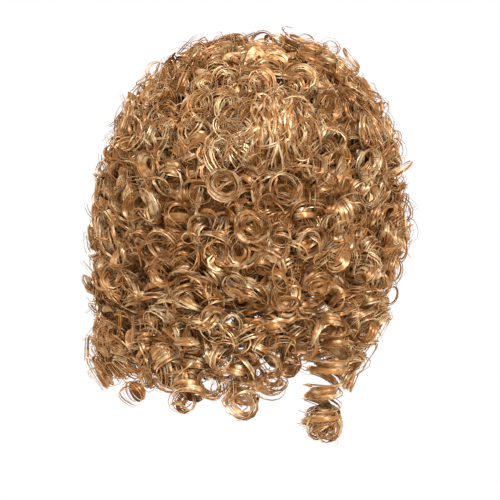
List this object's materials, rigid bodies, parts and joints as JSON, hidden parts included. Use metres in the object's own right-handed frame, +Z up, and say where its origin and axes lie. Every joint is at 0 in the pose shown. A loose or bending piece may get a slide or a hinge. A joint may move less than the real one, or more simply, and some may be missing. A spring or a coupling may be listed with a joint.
{
  "type": "curly wig",
  "caption": "Collar-length wig of tight honey-blond corkscrew curls sewn in rows to a fitted cap with an elastic edge band, with loose ringlets at the hem.",
  "frame": {"origin": "inside of the cap at the top of the head, where the wearer's head touches it", "axes": "+Z up out of the head, -Y the way the wearer faces, +X the wearer's left"},
  "size_m": [0.2707, 0.2381, 0.341],
  "materials": {
    "hair": "glossy synthetic fibre, honey blond, in tight spiral curls",
    "cap_net": "matt net with sewn rows",
    "elastic": "ribbed elastic"
  },
  "bodies": {
    "root": {"cap": "cap_net", "edge_band": "elastic", "crown_weft": "hair", "fringe_weft": "hair", "upper_weft": "hair", "middle_weft": "hair", "lower_weft": "hair", "left_side_weft": "hair", "right_side_weft": "hair", "nape_weft": "hair"}
  },
  "joints": []
}
